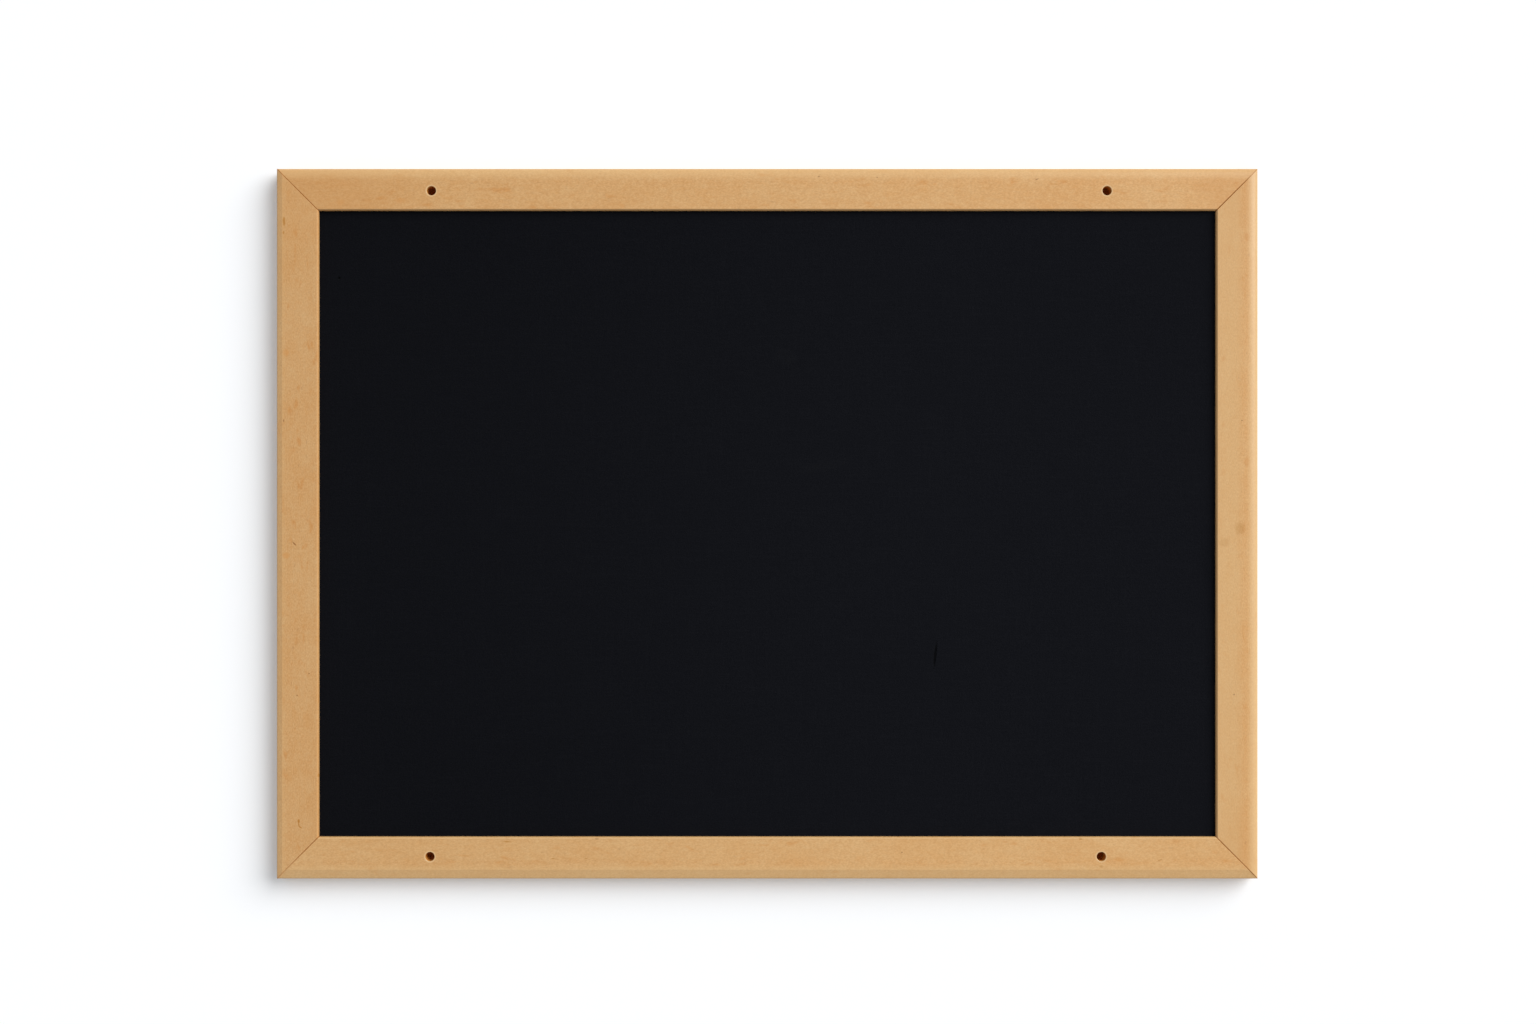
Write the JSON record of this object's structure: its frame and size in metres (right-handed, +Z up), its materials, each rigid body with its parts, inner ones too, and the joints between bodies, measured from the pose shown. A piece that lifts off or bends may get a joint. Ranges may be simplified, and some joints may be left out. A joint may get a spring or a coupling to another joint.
{
  "type": "felt bulletin board",
  "caption": "Wall board: a mitred pale wood frame with screw holes through its rails, holding a felt-faced pin panel set back inside it.",
  "frame": {"origin": "in the wall's plane, behind the middle of the board", "axes": "+X to the right as seen from the front, +Y into the wall, +Z up; the felt faces -Y"},
  "size_m": [0.63, 0.016, 0.456],
  "materials": {
    "varnished_wood": "pale close-grained hardwood with small flecks, clear satin varnish",
    "black_felt": "near-black napped felt with a faint woven lie",
    "fibreboard": "soft grey-brown pin board with fibrous sawn edges",
    "hardboard": "brown hardboard, smooth with a fine mesh print",
    "nail_steel": "plain strip steel",
    "point_steel": "zinc-plated strip steel"
  },
  "bodies": {
    "root": {"top_rail": "varnished_wood", "bottom_rail": "varnished_wood", "left_stile": "varnished_wood", "right_stile": "varnished_wood", "felt_face": "black_felt", "core_board": "fibreboard", "backing_board": "hardboard", "v_nail_top_right_1": "nail_steel", "v_nail_top_right_2": "nail_steel", "v_nail_bottom_right_1": "nail_steel", "v_nail_bottom_right_2": "nail_steel", "v_nail_bottom_left_1": "nail_steel", "v_nail_bottom_left_2": "nail_steel", "v_nail_top_left_1": "nail_steel", "v_nail_top_left_2": "nail_steel", "retaining_point_top_1": "point_steel", "retaining_point_top_2": "point_steel", "retaining_point_top_3": "point_steel", "retaining_point_bottom_1": "point_steel", "retaining_point_bottom_2": "point_steel", "retaining_point_bottom_3": "point_steel", "retaining_point_left_1": "point_steel", "retaining_point_left_2": "point_steel", "retaining_point_right_1": "point_steel", "retaining_point_right_2": "point_steel"}
  },
  "joints": []
}
